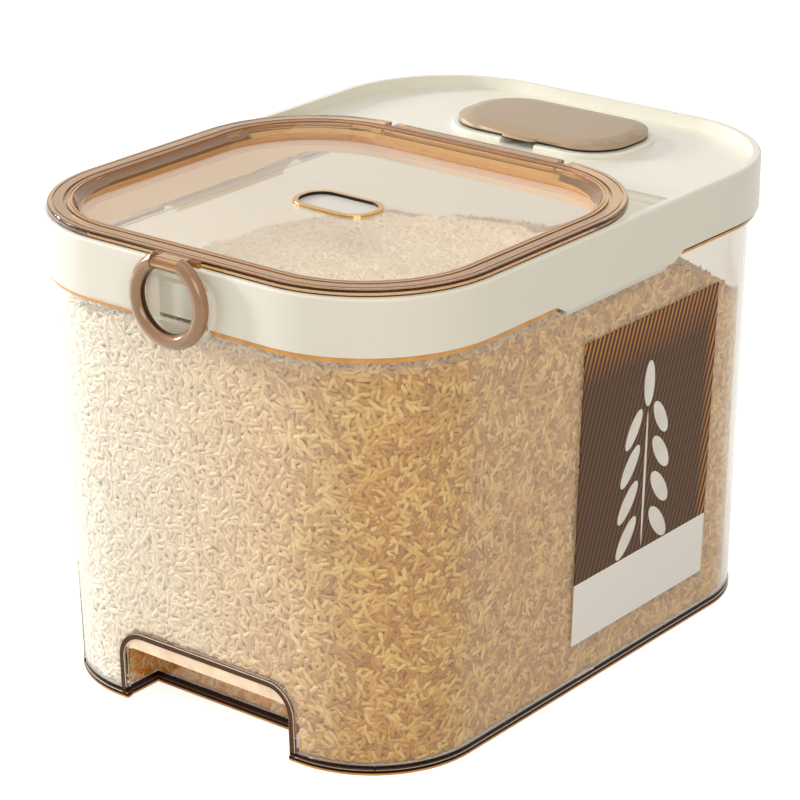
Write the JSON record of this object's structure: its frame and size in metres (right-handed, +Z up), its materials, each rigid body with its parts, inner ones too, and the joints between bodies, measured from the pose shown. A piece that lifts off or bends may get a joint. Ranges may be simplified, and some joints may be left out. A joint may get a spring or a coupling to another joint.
{
  "type": "rice bin with flip lid",
  "caption": "Clear tapered rice bin with an ivory top frame, a hinged amber flip lid with a pull ring, and a small capped box for a repellent pack on the rear deck.",
  "frame": {"origin": "on the floor, in the middle of the collar's outline", "axes": "+Z up, -Y the front with the pull ring and the finger recess, +Y the rear deck, +X the right side with the label"},
  "size_m": [0.2346, 0.3336, 0.2304],
  "materials": {
    "clear_shell": "clear, faintly amber moulded plastic, polished",
    "amber_lid": "clear tea-amber moulded plastic, polished",
    "ivory_frame": "ivory moulded plastic, satin to gloss",
    "brown_ring": "milk-brown moulded plastic, satin",
    "taupe_cap": "taupe moulded plastic, satin",
    "inner_box": "ivory moulded plastic",
    "seal": "milky silicone",
    "rod": "drawn steel rod",
    "bezel": "metallised plastic, warm chrome",
    "badge": "pale satin plate, bare",
    "label": "printed film sticker, brown with fine diagonal stripes"
  },
  "bodies": {
    "container": {"container_shell": "clear_shell", "side_label": "label"},
    "top_frame": {"top_frame": "ivory_frame", "frame_gasket": "seal", "hinge_rod": "rod"},
    "flip_lid": {"flip_lid": "amber_lid", "lid_gasket": "seal", "badge_bezel": "bezel", "badge_plate": "badge"},
    "pull_ring": {"pull_ring": "brown_ring"},
    "desiccant_box": {"desiccant_box": "inner_box"},
    "box_cap": {"box_cap": "taupe_cap", "box_gasket": "seal"}
  },
  "joints": [
    {"name": "frame_lift", "type": "slide", "parent": "container", "child": "top_frame", "axis": [0, 0, 1], "range_m": [0, 0.06]},
    {"name": "lid_flip", "type": "hinge", "parent": "top_frame", "child": "flip_lid", "pos_m": [0, 0.05, 0.2245], "axis": [-1, 0, 0], "range_deg": [0, 105]},
    {"name": "ring_swing", "type": "hinge", "parent": "flip_lid", "child": "pull_ring", "pos_m": [0, -0.1676, 0.2263], "axis": [-1, 0, 0], "range_deg": [0, 110]},
    {"name": "box_lift", "type": "slide", "parent": "top_frame", "child": "desiccant_box", "axis": [0, 0, 1], "range_m": [0, 0.04]},
    {"name": "cap_lift", "type": "slide", "parent": "desiccant_box", "child": "box_cap", "axis": [0, 0, 1], "range_m": [0, 0.03]}
  ]
}
